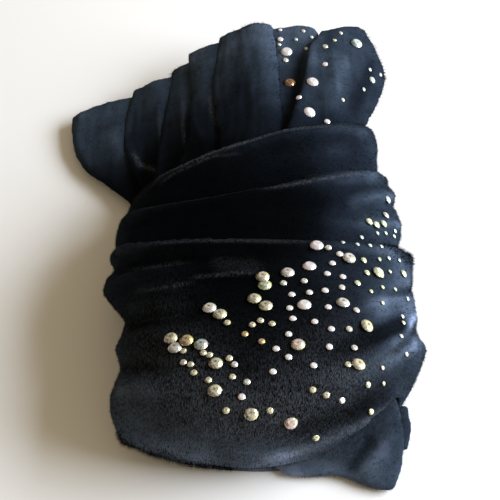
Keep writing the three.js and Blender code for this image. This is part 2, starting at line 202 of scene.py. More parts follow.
# Folds that the CAD solids leave out. Each follows a line on the chart; width and height are in millimetres,
# and a height below zero is a valley. A fade is the share of the line over which that end dies away.
FOLD_LINES = [
    # cloth, width, height, start fade, end fade, line
    ("wrap_turn_1", 2.6, 1.1, 0.02, 0.05,
     [(-56, 20), (-41, 35.5), (-17, 46), (0, 51), (17, 56), (43, 58.5), (60, 56)]),
    ("wrap_turn_2", 2.6, 1.1, 0.02, 0.05, [(-60, 15), (-24, 22), (5, 28), (33, 32), (66, 35.5)]),
    ("front_drape", 2.6, 1.1, 0.02, 0.05,
     [(-66, -1), (-48, 1.5), (-29, 3.5), (-7, 3.5), (33, 3), (62, 0), (74, -2)]),
    ("wrap_turn_2", 1.6, -1.3, 0.3, 0.01, [(44, 30), (58, 30.5), (70, 31)]),
    ("wrap_turn_2", 2.6, 1.2, 0.3, 0.01, [(44, 23), (60, 25.5), (72, 26)]),
    ("wrap_turn_2", 1.6, -1.2, 0.3, 0.01, [(46, 18), (60, 20), (74, 21)]),
    ("wrap_turn_2", 2.4, 1.0, 0.3, 0.01, [(46, 12), (62, 13), (76, 12)]),
    ("front_drape", 2.0, -1.0, 0.01, 0.4, [(82, -33), (79, -39), (75, -44), (70, -48), (61, -52)]),
    ("front_drape", 2.4, 1.2, 0.01, 0.4, [(83, -29), (76, -37), (68, -42), (58, -46)]),
    ("front_drape", 2.2, -1.2, 0.01, 0.5, [(82, -18.5), (74, -20), (62, -22)]),
    ("front_drape", 2.0, -0.9, 0.01, 0.5, [(-72, -11), (-62, -10), (-50, -9)]),
    ("fan_fold_1", 1.8, 1.0, 0.1, 0.3, [(-58, 56), (-57.5, 48), (-53, 41), (-41, 37)]),
    ("fan_fold_1", 6.0, 1.2, 0.2, 0.3, [(-68, 60), (-62, 46), (-50, 36)]),
    ("fan_fold_2", 1.8, 1.3, 0.2, 0.2, [(-58, 50), (-52.8, 40.5), (-46, 38), (-36, 36.5)]),
    ("fan_fold_2", 1.5, 0.8, 0.3, 0.2, [(-44, 74), (-43.5, 58), (-42, 42)]),
    ("fan_fold_3", 1.5, 0.8, 0.3, 0.2, [(-33, 80), (-32.5, 62), (-31, 44)]),
    ("fan_fold_4", 1.6, 0.9, 0.3, 0.2, [(-31, 80), (-27, 62), (-22, 50)]),
    ("fan_fold_5", 1.5, 1.0, 0.4, 0.3, [(-20, 78), (-18.5, 67), (-15, 56)]),
    ("fan_fold_5", 5.0, -0.4, 0.4, 0.3, [(-8, 100), (-4, 78), (0, 58)]),
    ("wrap_turn_1", 1.4, -0.9, 0.2, 0.4, [(-46, 28), (-36, 36.5), (-17, 45), (0, 51), (18, 54)]),
    ("wrap_turn_1", 1.4, 0.8, 0.3, 0.3, [(-29, 42), (-14, 45.5), (-2, 46)]),
    ("wrap_turn_1", 5.0, 1.0, 0.3, 0.3, [(-10, 38), (20, 46), (52, 48)]),
    ("wrap_turn_2", 2.0, 0.9, 0.4, 0.1, [(5, 30), (24, 32), (43, 37), (64, 38)]),
    ("wrap_turn_2", 3.0, -0.8, 0.4, 0.3, [(-50, 14), (-20, 20), (20, 22), (50, 24)]),
    ("wrap_turn_2", 4.0, 0.9, 0.4, 0.3, [(-48, 8), (-10, 14), (30, 14), (62, 12)]),
    ("front_drape", 2.2, -1.4, 0.1, 0.3, [(-62, -8.5), (-31, -6), (0, -4), (16, -4)]),
    ("front_drape", 1.6, 0.9, 0.3, 0.3, [(-36, -3.5), (-14, -1.5), (4, -1)]),
    ("front_drape", 2.6, 1.2, 0.2, 0.4, [(-58, -20), (-41, -18), (-30, -16)]),
    ("front_drape", 2.4, 1.0, 0.4, 0.4, [(-26, -13), (-12, -11.5), (3, -10.5)]),
    ("front_drape", 3.5, -1.5, 0.1, 0.5, [(-61, -37), (-48, -35), (-31, -32.5), (-14, -32)]),
    ("front_drape", 4.0, 1.2, 0.1, 0.5, [(-60, -28), (-44, -27), (-28, -24)]),
    ("front_drape", 3.0, -1.2, 0.1, 0.6, [(-63, -56.5), (-50, -57), (-34, -60)]),
    ("front_drape", 3.5, 1.0, 0.1, 0.6, [(-66, -67), (-52, -68), (-34, -70)]),
    ("front_drape", 4.5, -2.2, 0.1, 0.4, [(77, -34), (56, -43), (40, -49), (26, -54)]),
    ("front_drape", 4.5, 2.0, 0.1, 0.4, [(82, -41), (65, -53), (46, -61.5), (24, -66)]),
    ("front_drape", 5.0, -1.8, 0.3, 0.4, [(72, -62), (50, -79), (24, -86), (0, -88)]),
    ("front_drape", 3.0, 1.2, 0.2, 0.3, [(76, -68), (57, -81), (38, -91), (19, -98), (-5, -103)]),
    ("front_drape", 7.0, -1.2, 0.4, 0.4, [(-14, -50), (-6, -58), (-4, -66)]),
    ("front_drape", 3.0, 0.9, 0.3, 0.4, [(79, -18), (64, -24), (48, -28)]),
    ("corner_panel", 4.0, 0.9, 0.2, 0.3, [(70, -84), (62, -98), (50, -108)]),
    ("corner_panel", 3.0, -0.8, 0.2, 0.3, [(60, -88), (52, -100), (44, -110)]),
    ("jewelled_lobe_right", 5.0, 0.9, 0.3, 0.3, [(50, 100), (44, 82), (38, 64)]),
    ("jewelled_lobe_right", 3.0, -0.8, 0.3, 0.3, [(60, 94), (54, 78), (48, 62)]),
    ("jewelled_lobe_left", 3.0, -0.7, 0.3, 0.3, [(24, 100), (22, 82), (20, 64)]),
]

# Where a cloth is drawn out or tucked in: chart place, reach and move, in millimetres.
PULLS = [
    # cloth, across, up, reach, (x, y, z)
    ("corner_panel", 70, -112, 9, (1.5, -2.8, 0)),
    ("corner_panel", 60, -113, 9, (0, -2.4, 0)),
    ("corner_panel", 73, -104, 7, (1.6, 0, 0)),
    ("corner_panel", 40, -110, 8, (0, 2.0, 0)),
    ("front_drape", 83, -40, 9, (-1.6, -3.0, 0)),
    ("front_drape", 80, -3, 13, (1.2, 0, 0)),
    ("front_drape", -64, -90, 9, (0.5, -2.0, 0)),
    ("front_drape", -52, -98, 10, (-0.5, -3.0, 0)),
    ("front_drape", -30, -104, 16, (0, -3.5, 0)),
    ("front_drape", -6, -107, 14, (0, -3.0, 0)),
    ("corner_panel", -26, -109, 12, (4.0, 6.0, 0)),
    ("corner_panel", -4, -109, 12, (0, 3.5, 0)),
    ("jewelled_lobe_left", 32, 100, 14, (2.8, 0, 0)),
    ("jewelled_lobe_left", 33, 108, 7, (0, -3.5, 0)),
    ("jewelled_lobe_left", 13, 108, 6, (0, -1.5, 0)),
    ("jewelled_lobe_right", 37, 110, 10, (-0.5, -4.5, 0)),
    ("jewelled_lobe_right", 33, 96, 12, (-1.6, 0, 0)),
    ("fan_fold_1", -72, 63, 15, (0, 2.8, 0.5)),
    ("fan_fold_5", 12, 111, 9, (0, -2.6, 0)),
    ("wrap_turn_2", 72, 8, 9, (2.0, 0, 0)),
    ("wrap_turn_2", 40, 34, 20, (0, 3.0, 0)),
]

# Free edges that sink onto the cloth below: width and drop in millimetres, and the line of the edge.
SETTLED_EDGES = [
    # cloth, width, drop, line
    ("fan_fold_2", 9.0, 4.5, [(-57, 80), (-58, 60), (-50, 40), (-44, 28)]),
    ("fan_fold_3", 8.0, 4.5, [(-38, 90), (-41, 70), (-42, 55), (-38, 34)]),
    ("fan_fold_4", 8.0, 4.0, [(-30, 98), (-30, 80), (-32, 58), (-30, 40)]),
    ("fan_fold_5", 9.0, 3.2, [(-15, 108), (-17, 88), (-17, 58), (-16, 46)]),
    ("fan_fold_5", 6.0, 4.0, [(13, 113), (15, 84), (18, 56)]),
    ("jewelled_lobe_right", 6.0, 3.0, [(37, 110), (35, 96), (33, 80), (31, 62)]),
]

# The drape's front hem keeps above this line on the chart, and gathers over the last few millimetres.
HEM = [
    (-56, -95.5), (-47.5, -99.4), (-38.4, -102.2), (-29.3, -104.6), (-10.6, -106.6), (13.9, -108.6),
    (40, -109),
]
HEM_GATHER = 5.0

# Painted light on the pile at places on the chart, from 0 to 1: the first value is a painted blue-grey sheen,
# the second a painted glint that turns the pile's streaks pale. The values suit this line of sight and this
# window: parts towards the window are marked paler here than the bare cloth would be.
PILE_PAINTED_LIGHT = [
    # across, up, painted sheen, painted streak glint
    (-82, 65, 0.68, 0.1), (-67, 53, 0.46, 0.1), (-53, 41, 0.2, 0), (-38, 77, 0.58, 0), (-10, 101, 0.66, 0),
    (-52, 77, 0.74, 0), (-48, 66, 0.48, 0), (-36, 87, 0.76, 0), (-38, 58, 0.3, 0), (-10, 77, 0.54, 0),
    (-10, 63, 0.28, 0), (19, 101, 0.7, 0), (19, 77, 0.5, 0), (48, 100, 0.5, 0), (46, 77, 0.3, 0),
    (53, 86, 0.36, 0), (34, 94, 0.8, 0), (33, 78, 0.6, 0), (62, 77, 0.54, 0), (64, 94, 0.66, 0),
    (48, 53, 0.32, 0), (64, 50, 0.56, 0), (19, 53, 0.14, 0), (-24, 41, 0, 0), (-24, 5, 0, 0),
    (-50, 20, 0, 0), (-66, 6, 0.44, 0), (-64, 18, 0.36, 0), (48, 29, 0.34, 0), (66, 17, 0.56, 0),
    (19, 17, 0.03, 0), (48, -7, 0.34, 0.05), (78, -10, 0.68, 0), (-67, -14, 0.42, 0), (-62, -33, 0.36, 0.1),
    (-42, -16, 0, 0.06), (-10, -19, 0, 0), (3, -36, 0, 0), (-12, -40, 0, 0.05), (19, -31, 0.14, 0.04),
    (48, -43, 0.27, 0.15), (80, -48, 0.5, 0), (70, -38, 0.84, 0), (-47, -43, 0.08, 0.3),
    (-62, -57, 0.58, 0.3), (-24, -55, 0.05, 0.5), (5, -57, 0.03, 0.15), (24, -56, 0.06, 0.3),
    (48, -60, 0.24, 0.8), (-53, -79, 0.36, 0.5), (-62, -84, 0.56, 0.4), (-30, -74, 0.18, 0.7),
    (-10, -79, 0.11, 0.8), (19, -79, 0.12, 0.9), (50, -76, 0.34, 0.4), (74, -66, 0.46, 0.1),
    (-24, -105, 1, 0.3), (-35, -90, 0.62, 0.5), (-54, -97, 1, 0.3), (5, -106, 1, 0.4), (-8, -92, 0.48, 0.8),
    (34, -91, 0.3, 1), (50, -91, 0.36, 0.3), (66, -103, 0.58, 0), (48, -104, 0.95, 0), (28, -107, 1, 0.1),
    (62, -88, 0.52, 0), (74, -78, 0.58, 0),
]
PAINT_REACH = 12.0
NEVER_ZERO = 1e-9
RIDGE_FROM = 2  # folds at least this wide, in millimetres, also get painted light on the pile
RIDGE_PAINT = 0.35  # per millimetre of fold: a painted highlight on a ridge, painted shade in a valley
RIDGE_PAINT_RANGE = (-0.6, 0.4)

# Painted highlights on rims and creases, thin pale lines: width in millimetres, strength and line.
PAINTED_RIM_HIGHLIGHTS = [
    # cloth, width, strength, line
    ("wrap_turn_1", 0.7, 0.9,
     [(-54, 24), (-41, 37), (-17, 47.5), (0, 52.5), (15, 57.5), (33, 59.5), (54, 59)]),
    ("wrap_turn_1", 0.6, 0.4, [(-46, 30), (-36, 37), (-17, 45.5), (-8, 49)]),
    ("wrap_turn_1", 0.5, 0.35, [(-29, 42), (-14, 45.5), (-2, 46.5)]),
    ("wrap_turn_2", 0.8, 0.7, [(2, 29), (20, 31.5), (33, 34), (50, 36.5), (66, 38)]),
    ("front_drape", 0.8, 0.4, [(-62, 0.5), (-48, 3), (-29, 4.6), (-7, 4.6), (20, 4.2), (44, 4)]),
    ("fan_fold_1", 1.2, 0.7, [(-57, 48), (-52, 41), (-42, 37)]),
    ("fan_fold_5", 1.2, 0.6, [(-20, 76), (-18.5, 67), (-15, 58)]),
    ("fan_fold_2", 1.1, 0.8, [(-57.6, 49), (-52.8, 41), (-46, 38.5), (-36, 37)]),
    ("fan_fold_2", 0.9, 0.3, [(-44, 72), (-43.5, 58), (-42, 44)]),
    ("fan_fold_3", 0.9, 0.4, [(-33, 78), (-32.5, 62), (-31, 46)]),
    ("fan_fold_4", 1.1, 0.6, [(-20, 76), (-18.5, 67), (-15, 58)]),
    ("front_drape", 1.0, 0.45, [(-60, -21), (-41, -18), (-24, -15)]),
    ("front_drape", 0.9, 0.45, [(-32, -13.5), (-12, -11.5), (8, -10)]),
    ("front_drape", 3.5, 0.16, [(-22, -5), (-6, -7), (10, -9)]),
    ("front_drape", 0.8, 0.35, [(-64, -10), (-46, -8), (-24, -5)]),
    ("front_drape", 1.0, 0.3, [(-60, -35), (-44, -33), (-26, -31)]),
    ("front_drape", 3.2, 0.6, [(80, -42), (65, -53), (46, -61), (24, -66)]),
    ("front_drape", 2.4, 1.0, [(74, -70), (57, -82), (38, -92), (19, -99), (-5, -104)]),
]
RIM_HIGHLIGHT_FADES = (0.25, 0.3)

# Cut edges, where the pile stands out in tufts.
CUT_EDGES = [
    # cloth, line
    ("front_drape", [(-64, -90), (-56, -96), (-47, -99.5), (-38, -102), (-29, -104.5), (-10, -106.5)]),
    ("fan_fold_5", [(12, 112), (15, 84), (18, 58)]),
    ("fan_fold_5", [(-14, 108), (0, 110), (12, 112)]),
    ("fan_fold_3", [(-38, 84), (-37, 91), (-31, 93)]),
    ("jewelled_lobe_right", [(56, 106), (65, 90), (66, 76), (59, 58)]),
    ("front_drape", [(66, 2), (76, -4)]),
]
CUT_EDGE_WIDTH = 2.6

# A cloth's own fine wrinkles: their length along x, y and z, and their height, all in millimetres.
WRINKLES = {
    "turn": ((60.0, 7.0, 40.0), 0.5),
    "drape": ((55.0, 11.0, 26.0), 0.8),
    "fold": ((8.0, 60.0, 16.0), 0.55),
    "panel": ((24.0, 14.0, 14.0), 0.5),
}
KIND = {
    "wrap_turn_1": "turn",
    "wrap_turn_2": "turn",
    "front_drape": "drape",
    "corner_panel": "panel",
    "side_tab": "panel",
}
FAN = [*(f"fan_fold_{i}" for i in range(1, 6)), "jewelled_lobe_left", "jewelled_lobe_right"]
CLOTHS = [*FAN, "wrap_turn_1", "wrap_turn_2", "front_drape", "corner_panel", "side_tab"]
FLOOR_CLEAR = 0.25  # the lowest that cloth and pile reach, in millimetres
SINKS_FROM, SINKS_FULLY = 2, 14  # heights between which a settled edge comes to its full drop
NOISE_SHIFT = (7.3, 3.1, 5.7)  # sets each cloth's wrinkles apart from the next one's
NOISE = (0.6, 2.0, 3)  # roughness, lacunarity and octaves


def shape_cloth(mesh, node, seed):
    """Moves a cloth's points: folds and wrinkles first, then pulls, settled edges and the drape's hem."""
    points = points_of(mesh)
    normals = normals_of(mesh)
    chart = charted(points)
    facing = smooth_step(-0.35, 0.25, normals @ TO_EYE)
    move = np.zeros(len(points))
    for cloth, width, height, fade_in, fade_out, line in FOLD_LINES:
        if cloth == node:
            gap, share = along_line(chart, line)
            move += height * hump(gap, width) * fade_ends(share, fade_in, fade_out) * facing
    lengths, height = WRINKLES[KIND.get(node, "fold")]
    shift = Vector([seed * step for step in NOISE_SHIFT])
    scaled = points / np.array(lengths)
    move += height * np.array([noise.fractal(Vector(p) + shift, *NOISE) for p in scaled])
    points += normals * move[:, None]
    for cloth, across, up, reach, way in PULLS:
        if cloth == node:
            away = np.linalg.norm(chart - (across, up), axis=1)
            points += hump(away, reach)[:, None] * np.array(way)
    for cloth, width, drop, line in SETTLED_EDGES:
        if cloth == node:
            gap, _ = along_line(chart, line)
            points[:, 2] -= drop * hump(gap, width) * smooth_step(SINKS_FROM, SINKS_FULLY, points[:, 2])
    if node == "front_drape":
        chart = charted(points)
        past = np.interp(chart[:, 0], *np.array(HEM).T) - chart[:, 1]
        gathered = np.clip(past + HEM_GATHER, 0, None)
        points[:, 1] += gathered - HEM_GATHER * (1 - np.exp(-gathered / HEM_GATHER))
    points[:, 2] = np.maximum(points[:, 2], FLOOR_CLEAR)
    set_points(mesh, points)


def paint_pile_light(mesh, node):
    """Paints light onto each point of a cloth's pile: a painted blue-grey sheen, a painted glint on the pale
    streaks, and painted rim highlights.
    """
    chart = charted(points_of(mesh))
    table = np.array(PILE_PAINTED_LIGHT)
    squares = ((chart[:, None, :] - table[None, :, :2]) ** 2).sum(2)
    weights = np.exp(-squares / (2 * PAINT_REACH**2)) + NEVER_ZERO
    painted_lights = (weights @ table[:, 2:]) / weights.sum(1, keepdims=True)
    for cloth, width, height, fade_in, fade_out, line in FOLD_LINES:
        if cloth == node and width >= RIDGE_FROM:
            # Painted shade darkens the pile down in a valley, and a painted highlight lightens it on a ridge.
            gap, share = along_line(chart, line)
            amount = height * fade_ends(share, fade_in, fade_out) * hump(gap, width)
            painted_lights *= (1 + np.clip(RIDGE_PAINT * amount, *RIDGE_PAINT_RANGE))[:, None]
    rim_highlight = np.zeros(len(chart))
    for cloth, width, strength, line in PAINTED_RIM_HIGHLIGHTS:
        if cloth == node:
            gap, share = along_line(chart, line)
            rim_highlight = np.maximum(rim_highlight, strength * fade_ends(share, *RIM_HIGHLIGHT_FADES) * hump(gap, width))
    marks = np.stack([painted_lights[:, 0], painted_lights[:, 1], rim_highlight, np.ones(len(chart))], 1)
    layer = mesh.color_attributes.new("pile_painted_light", "FLOAT_COLOR", "POINT")
    layer.data.foreach_set("color", marks.ravel())
    return marks


def near_cut_edge(points, node):
    """1 on a cloth's cut edges, and 0 away from them."""
    chart = charted(points)
    near = np.zeros(len(chart))
    for cloth, line in CUT_EDGES:
        if cloth == node:
            gap, _ = along_line(chart, line)
            near = np.maximum(near, hump(gap, CUT_EDGE_WIDTH))
    return near


cloth, pile_marks = {}, {}
for i, node in enumerate(CLOTHS):
    cloth[node] = fine_copy(node)
    shape_cloth(cloth[node].data, node, i + 1)
    pile_marks[node] = paint_pile_light(cloth[node].data, node)
    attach(cloth[node], "root")
    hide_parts(node)


# ---------------------------------------------------------------- crystals
# across and up are on the chart, in millimetres.
LARGE_CRYSTALS = [
    (32, 2, "pink"), (28.5, -8, "pink"), (18, -11, "silver"), (6, -13, "gold"), (7, -17, "lime"),
    (2, -23.5, "gold"), (7.5, -27, "gold"), (26, -26.5, "white"), (44.5, -25.5, "silver"),
    (47.5, -4, "silver"), (61.5, -11, "lime"), (56, -36.5, "gold"), (23, -45.5, "rose"),
    (52, -55, "gold"), (-19.5, -28, "silver"), (-14.5, -31, "gold"), (-38, -42.5, "gold"),
    (-36, -47, "silver"), (-30.5, -43.5, "amber"), (-23.5, -45.5, "teal"), (-16.5, -54.5, "gold"),
    (-17, -67.5, "gold"), (0.5, -78.5, "gold"), (19.5, -82.5, "rose"), (17.5, 95, "white"),
    (19, 80, "brown"), (28.5, 66, "white"), (30, 80.5, "pink"), (51, 99, "cyan"),
]
MEDIUM_CRYSTALS = [
    (57, 13.5, "lime"), (60.5, 12, "lime"), (64, 12.5, "lime"), (65, 16.5, "teal"), (66, 24, "cyan"),
    (73.5, -11.5, "lime"), (58.5, 81.5, "cyan"),
]
SMALL_CRYSTALS = [
    (37.5, 1, "silver"), (43, -2, "white"), (54.5, -5, "lime"), (39.5, -6.5, "white"),
    (37, -11.5, "white"), (44.5, -13, "white"), (51.5, -16, "lime"), (56, -11, "lime"),
    (44, -18, "silver"), (36, -19.5, "white"), (28.5, -20.5, "white"), (26, -15, "silver"),
    (20, -21.5, "white"), (16, -16, "silver"), (19, -28, "white"), (20.5, -33, "white"),
    (37.5, -27.5, "white"), (31, -34.5, "white"), (51, -29, "silver"), (39, -38, "white"),
    (47.5, -38, "silver"), (18.5, -40.5, "white"), (38, -46.5, "white"), (50, -47, "silver"),
    (18.5, -51.5, "white"), (30.5, -55.5, "white"), (47, -55, "gold"), (-11, -35, "gold"),
    (1, -36, "gold"), (5, -34, "gold"), (10.5, -35.5, "gold"), (-2.5, -40.5, "amber"),
    (5.5, -44, "amber"), (12.5, -47.5, "pink"), (-32, -48.5, "gold"), (-22.5, -49.5, "gold"),
    (-19.5, -50.5, "gold"), (-32, -54, "gold"), (-28.5, -55, "gold"), (-27, -59, "gold"),
    (-10, -52, "gold"), (-7.5, -55, "silver"), (-8.5, -61, "gold"), (-20, -62.5, "gold"),
    (-1.5, -63.5, "silver"), (-4, -70.5, "pink"), (-11.5, -77, "gold"), (9.5, -77, "gold"),
    (11, -58.5, "white"), (31.5, -90, "gold"), (30, -67, "gold"), (36.5, -69.5, "gold"),
    (44, -72, "silver"), (58, -77.5, "gold"), (17, 91, "silver"), (36, 89, "white"), (23.5, 73, "white"),
    (37, 61.5, "white"), (56.5, -64.5, "lime"), (14.5, 101, "white"), (36, 97.5, "silver"),
]
TINY_CRYSTALS = [
    (44.5, 3.5, "cyan"), (51.5, 2.5, "cyan"), (57.5, 2, "cyan"), (63, 1.5, "cyan"), (53.5, 6, "cyan"),
    (62, -4.5, "lime"), (66.5, -4, "cyan"), (71.5, -5, "cyan"), (67, -10.5, "lime"), (63.5, -18, "lime"),
    (69.5, -19, "lime"), (58, -20, "lime"), (63.5, -25.5, "lime"), (75.5, -23.5, "cyan"),
    (73, -32, "cyan"), (73.5, -35, "lime"), (72.5, -41.5, "white"), (75, -50, "white"),
    (63.5, -56.5, "rose"), (64, -64, "lime"), (61, 8, "cyan"), (65, 8, "cyan"), (69.5, 9, "cyan"),
    (69, 6.5, "cyan"), (14.5, 105.5, "white"), (14, 98.5, "silver"), (22, 101, "cyan"),
    (25.5, 105, "silver"), (27, 96.5, "cyan"), (29.5, 102, "cyan"), (43.5, 104, "silver"),
    (40.5, 100.5, "lime"), (44.5, 72, "silver"), (54.5, 77, "cyan"), (57.5, 86.5, "cyan"),
    (62.5, 84, "cyan"),
]
# Colours of the coated glass, with painted light on its facets.
TINTS = {
    # painted shade on facets away from the window, painted highlight on those towards it, two painted flashes
    # round the crown, share of the painted dark reflection in the table
    "white": ("#e6e4e8", "#ffffff", "#ffffff", "#f4eaf6", 0.1),
    "pink": ("#dad2da", "#fffaff", "#fff8e2", "#fadcf4", 0.1),
    "rose": ("#8a7a74", "#f6ebdc", "#f6f0b4", "#ff98ac", 0.3),
    "silver": ("#7b7975", "#f0eee8", "#f7f3d4", "#cfc3cf", 0.6),
    "gold": ("#565140", "#e6e2c9", "#fdf6ae", "#b9a4ac", 0.7),
    "lime": ("#566048", "#e2e8c8", "#f6fbac", "#a0d6cb", 0.5),
    "amber": ("#57462e", "#d8c7a0", "#fbdc44", "#b8604c", 0.8),
    "brown": ("#37271e", "#a07b58", "#d79a64", "#80503f", 0.8),
    "teal": ("#5c6663", "#d2dbd6", "#e2b8a8", "#88dce8", 0.7),
    "cyan": ("#557077", "#dff2f4", "#f3fbe6", "#93e8f0", 0.2),
}
# Painted dark reflection in the middle of each crystal's table.
TABLE_DARK_REFLECTION = "#463a31"
CRYSTAL_SHAPE = 0.24  # a flat-back's height over its width
GIRDLE = 0.08  # the girdle's height and each step of the crown, for a crystal 1 wide before it is flattened
CROWN_STEPS = ((0.17, 0.8), (0.11, 0.7), (0.01, 0.36))  # rise, and width over that of the step below
GLUE = 0.15  # how far the flat back stands off the cloth, in millimetres
FACING_REACH = 3.0  # the cloth within this of a crystal sets its facing, in millimetres
ROUND_SIDE_FROM = 42  # across this the cloth, and the crystals on it, turn down to the right
ROUND_SIDE_WIDTH = 22
FOOT_OF_LOBES = 60  # below this the crystals face nearer straight up than the cloth does
ROUND_SIDE_TURN = 0.8
TURN_UP = (0.45, 0.55)  # added to the facing's y and z
WINDOW_WAY = np.array((0.75, 0.1, 0.65))
SPREAD = 0.34  # how far a facet's tone strays at random
TWIST = 0.8  # how far the flashes turn round the crown at random, in radians


def cut_crystal(facets):
    """A flat-back crystal 1 wide, its flat back on z = 0: girdle, rows of crown facets, and a small table,
    which set_crystals paints with a dark reflection. Gives its corners and faces."""
    bm = bmesh.new()
    bmesh.ops.create_circle(bm, cap_ends=True, segments=facets, radius=0.5)
    girdle = bmesh.ops.extrude_face_region(bm, geom=bm.faces[:])
    rim = [v for v in girdle["geom"] if isinstance(v, bmesh.types.BMVert)]
    bmesh.ops.translate(bm, verts=rim, vec=(0, 0, GIRDLE))
    for rise, shrink in CROWN_STEPS:
        face = [f for f in bm.faces if len(f.verts) == facets and f.calc_center_median().z > GIRDLE / 2]
        grown = bmesh.ops.extrude_face_region(bm, geom=face)
        bmesh.ops.delete(bm, geom=face, context="FACES_ONLY")
        rim = [v for v in grown["geom"] if isinstance(v, bmesh.types.BMVert)]
        bmesh.ops.translate(bm, verts=rim, vec=(0, 0, rise))
        bmesh.ops.scale(bm, verts=rim, vec=(shrink, shrink, 1))
        bmesh.ops.rotate(bm, verts=rim, matrix=Matrix.Rotation(math.pi / facets, 3, "Z"))
    bmesh.ops.recalc_face_normals(bm, faces=bm.faces)
    bmesh.ops.triangulate(bm, faces=[f for f in bm.faces if len(f.verts) == 4])
    bm.verts.index_update()
    bmesh.ops.recalc_face_normals(bm, faces=bm.faces)
    corners = [tuple(v.co) for v in bm.verts]
    faces = []
    for face in bm.faces:
        ring = [v.index for v in face.verts]
        first = ring.index(min(ring))
        faces.append(ring[first:] + ring[:first])
    bm.free()
    # Sorted, because the tools above leave the faces in another order each run, and tints go by that order.
    return np.array(corners), sorted(faces)


def surface_tree(pieces):
    """One search tree over the surfaces of several pieces, in metres."""
    points, faces, start = [], [], 0
    for piece in pieces:
        mesh = piece.data
        points.extend(v.co[:] for v in mesh.vertices)
        faces.extend([start + v for v in p.vertices] for p in mesh.polygons)
        start = len(points)
    return BVHTree.FromPolygons(points, faces)


def seat(tree, across, up):
    """Where a crystal dropped along the line of sight lands, and which way the cloth faces round there."""
    aim = Vector((CHART_CENTRE + across * np.array((1.0, 0, 0)) + up * CHART_UP - EYE)).normalized()
    spot, normal, _, _ = tree.ray_cast(Vector(EYE * MM), aim)
    if spot is None:
        return None
    near = tree.find_nearest_range(spot, FACING_REACH * MM)
    normal = sum((n for p, n, _, _ in near if n.dot(normal) > 0.3), Vector()).normalized()
    if up < FOOT_OF_LOBES:
        turned = min(1.0, max(0.0, (across - ROUND_SIDE_FROM) / ROUND_SIDE_WIDTH))
        normal = (normal + Vector((ROUND_SIDE_TURN * turned, *TURN_UP))).normalized()
    return spot, normal


def facet_colour(coat, corners, start_angle, lighter, rng):
    """Paints light into a facet's colour: a painted highlight, lightest towards the window, and the coat's two
    painted coloured flashes on opposite sides of the crown.
    """
    dark, light, flash, other_flash = coat
    way = np.cross(corners[1] - corners[0], corners[2] - corners[0])
    way /= np.linalg.norm(way)
    tone = np.clip(0.1 + 0.9 * max(0, way @ WINDOW_WAY) + rng.uniform(-SPREAD, SPREAD) + lighter, 0, 1)
    colour = dark + (light - dark) * tone
    round_crown = math.cos(math.atan2(way[1], way[0]) - start_angle) * math.hypot(way[0], way[1])
    if round_crown > 0:
        return colour + (flash - colour) * min(1, 1.2 * round_crown) * tone
    return colour + (other_flash - colour) * min(0.6, -round_crown) * tone


def set_crystals(name, tree, rows, width, facets, seed, lighter):
    """Joins the crystals of one size, seated on the cloth, into one piece with a tint on each facet."""
    rng = np.random.default_rng(seed)
    corners, shape = cut_crystal(facets)
    corners = corners * np.array((1, 1, CRYSTAL_SHAPE / corners[:, 2].max()))
    points, faces, colours = [], [], []
    for across, up, tint in rows:
        seated = seat(tree, across, up)
        if seated is None:
            print("missed", name, across, up)
            continue
        spot, normal = seated
        turn = normal.to_track_quat("Z", "Y").to_matrix() @ Matrix.Rotation(rng.uniform(0, math.pi), 3, "Z")
        base = np.array(spot) + np.array(normal) * GLUE * MM
        start = len(points)
        points.extend(base + np.array(turn) @ (c * width * MM) for c in corners)
        turned = [np.array(turn) @ c for c in corners]
        coat = [np.array(linear(code)) for code in TINTS[tint][:4]]
        start_angle = rng.uniform(-TWIST, TWIST)
        for face in shape:
            faces.append([start + i for i in face])
            colour = facet_colour(coat, np.array([turned[i] for i in face]), start_angle, lighter, rng)
            # The table, and the flat back beneath, take the painted dark reflection.
            if len(face) == facets:
                colour += (np.array(linear(TABLE_DARK_REFLECTION)) - colour) * TINTS[tint][4]
            colours.extend([colour] * len(face))
    mesh = bpy.data.meshes.new(name)
    mesh.from_pydata(points, [], faces)
    # The tint holds the coat's colours with painted light: painted highlights, flashes and the dark table.
    tints = mesh.color_attributes.new("tint", "FLOAT_COLOR", "CORNER")
    tints.data.foreach_set("color", np.array(colours).ravel())
    piece = new_object(name, mesh)
    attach(piece, "root")
    return piece


cloth_tree = surface_tree(cloth.values())
# Each size: width in millimetres, facets round the crown, seed, and how much lighter its facets read.
crystals = [
    set_crystals("large_crystals", cloth_tree, LARGE_CRYSTALS, 6.3, 12, 11, 0.0),
    set_crystals("medium_crystals", cloth_tree, MEDIUM_CRYSTALS, 4.0, 10, 12, 0.1),
    set_crystals("small_crystals", cloth_tree, SMALL_CRYSTALS, 3.3, 8, 13, 0.15),
    set_crystals("tiny_crystals", cloth_tree, TINY_CRYSTALS, 2.3, 8, 14, 0.15),
]
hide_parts(*[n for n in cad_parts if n.startswith("crystal_")])


# ---------------------------------------------------------------- pile
# Lengths are in millimetres.
PILE_LENGTH = 1.1
PILE_LENGTHS = (0.6, 1.25)  # shortest and longest, as shares of PILE_LENGTH
PILE_WIDTH = 0.17
PILE_LEAN = 0.5 * np.array((0.1, -0.8, -0.35))  # the way the nap runs
PILE_SCATTER = 0.35
LEAST_RISE = 0.35  # a fibre never lies flatter on the cloth than about this
ROOT_DEPTH = 0.15
CUT_EDGE_TUFTS = 3.0  # how much denser, and CUT_EDGE_LENGTH how much longer, the pile is at a cut edge
CUT_EDGE_LENGTH = 1.3
START_OFF = 0.4  # a fibre's spot is covered if cloth is met from this height up to COVERED_WITHIN metres on
COVERED_WITHIN = 0.03
UNDERSIDE = 1.2  # no loose fibres below this height
ROUND_FOOT = (0, 2.094, 4.189)  # a fibre's three foot corners, a third of a turn apart

